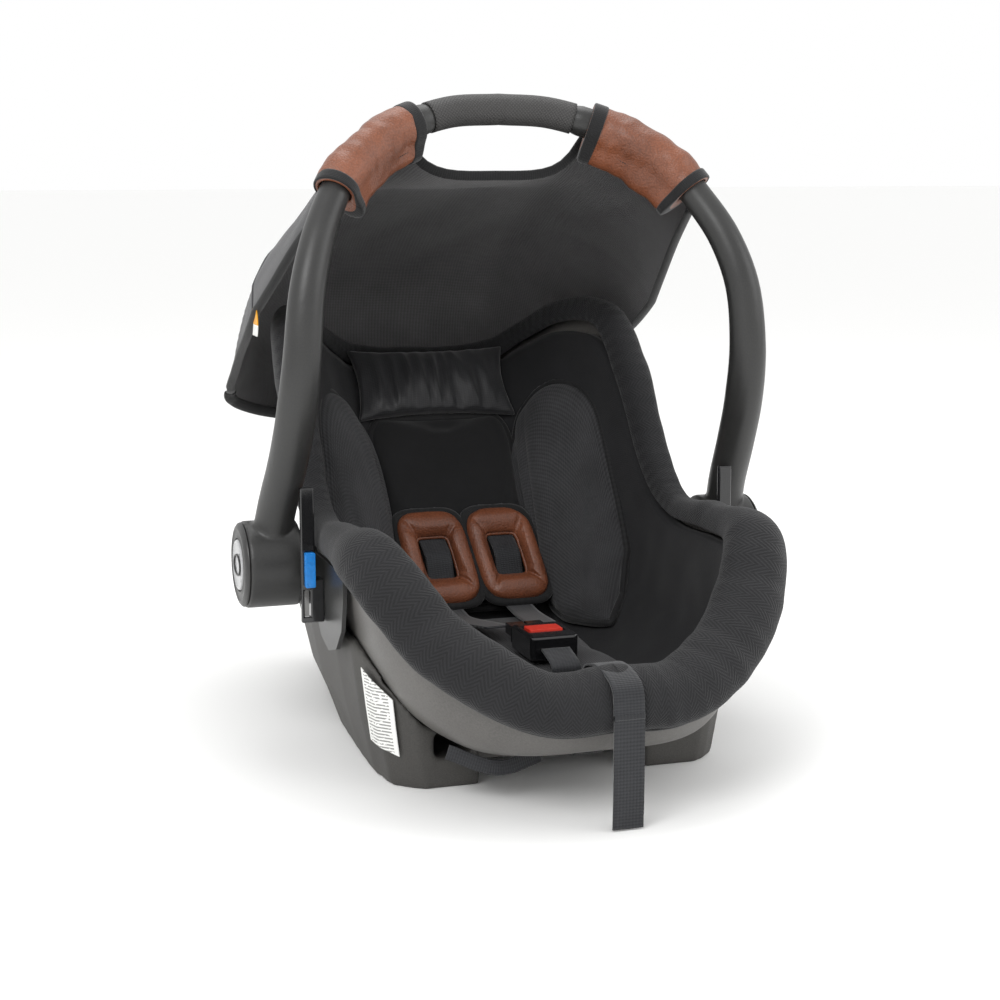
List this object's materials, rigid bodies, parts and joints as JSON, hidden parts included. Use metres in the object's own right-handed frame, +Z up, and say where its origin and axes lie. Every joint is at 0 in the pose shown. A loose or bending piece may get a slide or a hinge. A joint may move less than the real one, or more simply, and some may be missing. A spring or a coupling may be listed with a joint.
{
  "type": "infant car seat",
  "caption": "Rear-facing infant carrier: moulded shell on rockers with swinging carry handle, padded cover and insert, harness, belt guides and a canopy hung from the handle.",
  "frame": {"origin": "centre of the overall box at floor level, under the seat", "axes": "+Z up, +Y from the foot end towards the head end, +X to the right seen from the foot end"},
  "size_m": [0.481, 0.6558, 0.5614],
  "materials": {
    "shell_plastic": "satin moulded polypropylene, mid grey",
    "base_plastic": "textured matt moulded polypropylene, dark grey",
    "gloss_black": "glossy black moulded plastic",
    "handle_plastic": "satin moulded plastic, charcoal",
    "grip_rubber": "cross-hatched soft grip",
    "leatherette": "brown leatherette over thin padding",
    "cover_fabric": "charcoal herringbone polyester over wadding",
    "dark_fabric": "near-black polyester over foam",
    "webbing": "woven polyester webbing, black",
    "blue_plastic": "blue moulded plastic",
    "red_plastic": "red moulded plastic",
    "badge_plastic": "silver-grey moulded plastic",
    "steel": "bright zinc-plated steel",
    "label_white": "printed white film, blank",
    "tag_orange": "orange woven ribbon"
  },
  "bodies": {
    "carrier": {"seat_shell": "shell_plastic", "front_crossmember": "shell_plastic", "rocker_left": "base_plastic", "rocker_right": "base_plastic", "rear_crossmember": "base_plastic", "pivot_boss_left": "base_plastic", "pivot_boss_right": "base_plastic", "belt_guide_left": "gloss_black", "belt_guide_right": "gloss_black", "buckle_body": "gloss_black", "belt_hook_left": "blue_plastic", "belt_hook_right": "blue_plastic", "pivot_screw_left": "steel", "pivot_screw_right": "steel", "harness_yoke": "steel", "buckle_spring": "steel", "crotch_anchor": "steel", "adjuster_body": "steel", "seat_cover": "cover_fabric", "cover_lining": "cover_fabric", "canopy": "cover_fabric", "seat_pad": "dark_fabric", "insert_back": "dark_fabric", "insert_bolster_left": "dark_fabric", "insert_bolster_right": "dark_fabric", "head_pillow": "dark_fabric", "shoulder_strap_left": "webbing", "shoulder_strap_right": "webbing", "crotch_strap": "webbing", "adjuster_strap": "webbing", "under_strap": "webbing", "cover_elastic": "webbing", "info_label": "label_white", "care_tag": "tag_orange"},
    "handle": {"handle_frame": "handle_plastic", "handle_grip": "grip_rubber", "handle_sleeve_left": "leatherette", "handle_sleeve_right": "leatherette", "hub_cap_left": "handle_plastic", "hub_cap_right": "handle_plastic", "button_spring_left": "steel", "button_spring_right": "steel"},
    "release_left": {"release_button_left": "badge_plastic", "lock_gear_left": "steel"},
    "release_right": {"release_button_right": "badge_plastic", "lock_gear_right": "steel"},
    "buckle_press": {"buckle_button": "red_plastic"},
    "adjuster": {"adjuster_lever": "steel"},
    "pad_left": {"chest_pad_left": "leatherette"},
    "pad_right": {"chest_pad_right": "leatherette"},
    "tongue_l": {"tongue_left": "gloss_black"},
    "tongue_r": {"tongue_right": "gloss_black"}
  },
  "joints": [
    {"name": "handle_swing", "type": "hinge", "parent": "carrier", "child": "handle", "pos_m": [0, -0.0257, 0.163], "axis": [1, 0, 0], "range_deg": [-100, 0], "deforming": ["canopy", "care_tag"]},
    {"name": "release_left_press", "type": "slide", "parent": "handle", "child": "release_left", "axis": [1, 0, 0], "range_m": [0, 0.004], "stiffness_N_per_m": 900, "springref_m": -0.003, "deforming": ["button_spring_left"]},
    {"name": "release_right_press", "type": "slide", "parent": "handle", "child": "release_right", "axis": [-1, 0, 0], "range_m": [0, 0.004], "stiffness_N_per_m": 900, "springref_m": -0.003, "deforming": ["button_spring_right"]},
    {"name": "buckle_press", "type": "slide", "parent": "carrier", "child": "buckle_press", "axis": [0, 0, -1], "range_m": [0, 0.003], "stiffness_N_per_m": 900, "springref_m": -0.003, "deforming": ["buckle_spring"]},
    {"name": "adjuster_lift", "type": "hinge", "parent": "carrier", "child": "adjuster", "pos_m": [0, -0.2267, 0.066], "axis": [1, 0, 0], "range_deg": [-25, 0], "stiffness_Nm_per_rad": 0.08, "springref_deg": 11.46},
    {"name": "pad_left_slide", "type": "slide", "parent": "carrier", "child": "pad_left", "axis": [0, 0.5915, 0.8063], "range_m": [0, 0.006]},
    {"name": "pad_right_slide", "type": "slide", "parent": "carrier", "child": "pad_right", "axis": [0, 0.5915, 0.8063], "range_m": [0, 0.006]},
    {"name": "tongue_left_pull", "type": "slide", "parent": "carrier", "child": "tongue_l", "axis": [0, 1, 0], "range_m": [0, 0.025], "deforming": ["shoulder_strap_left"]},
    {"name": "tongue_right_pull", "type": "slide", "parent": "carrier", "child": "tongue_r", "axis": [0, 1, 0], "range_m": [0, 0.025], "deforming": ["shoulder_strap_right"]}
  ]
}
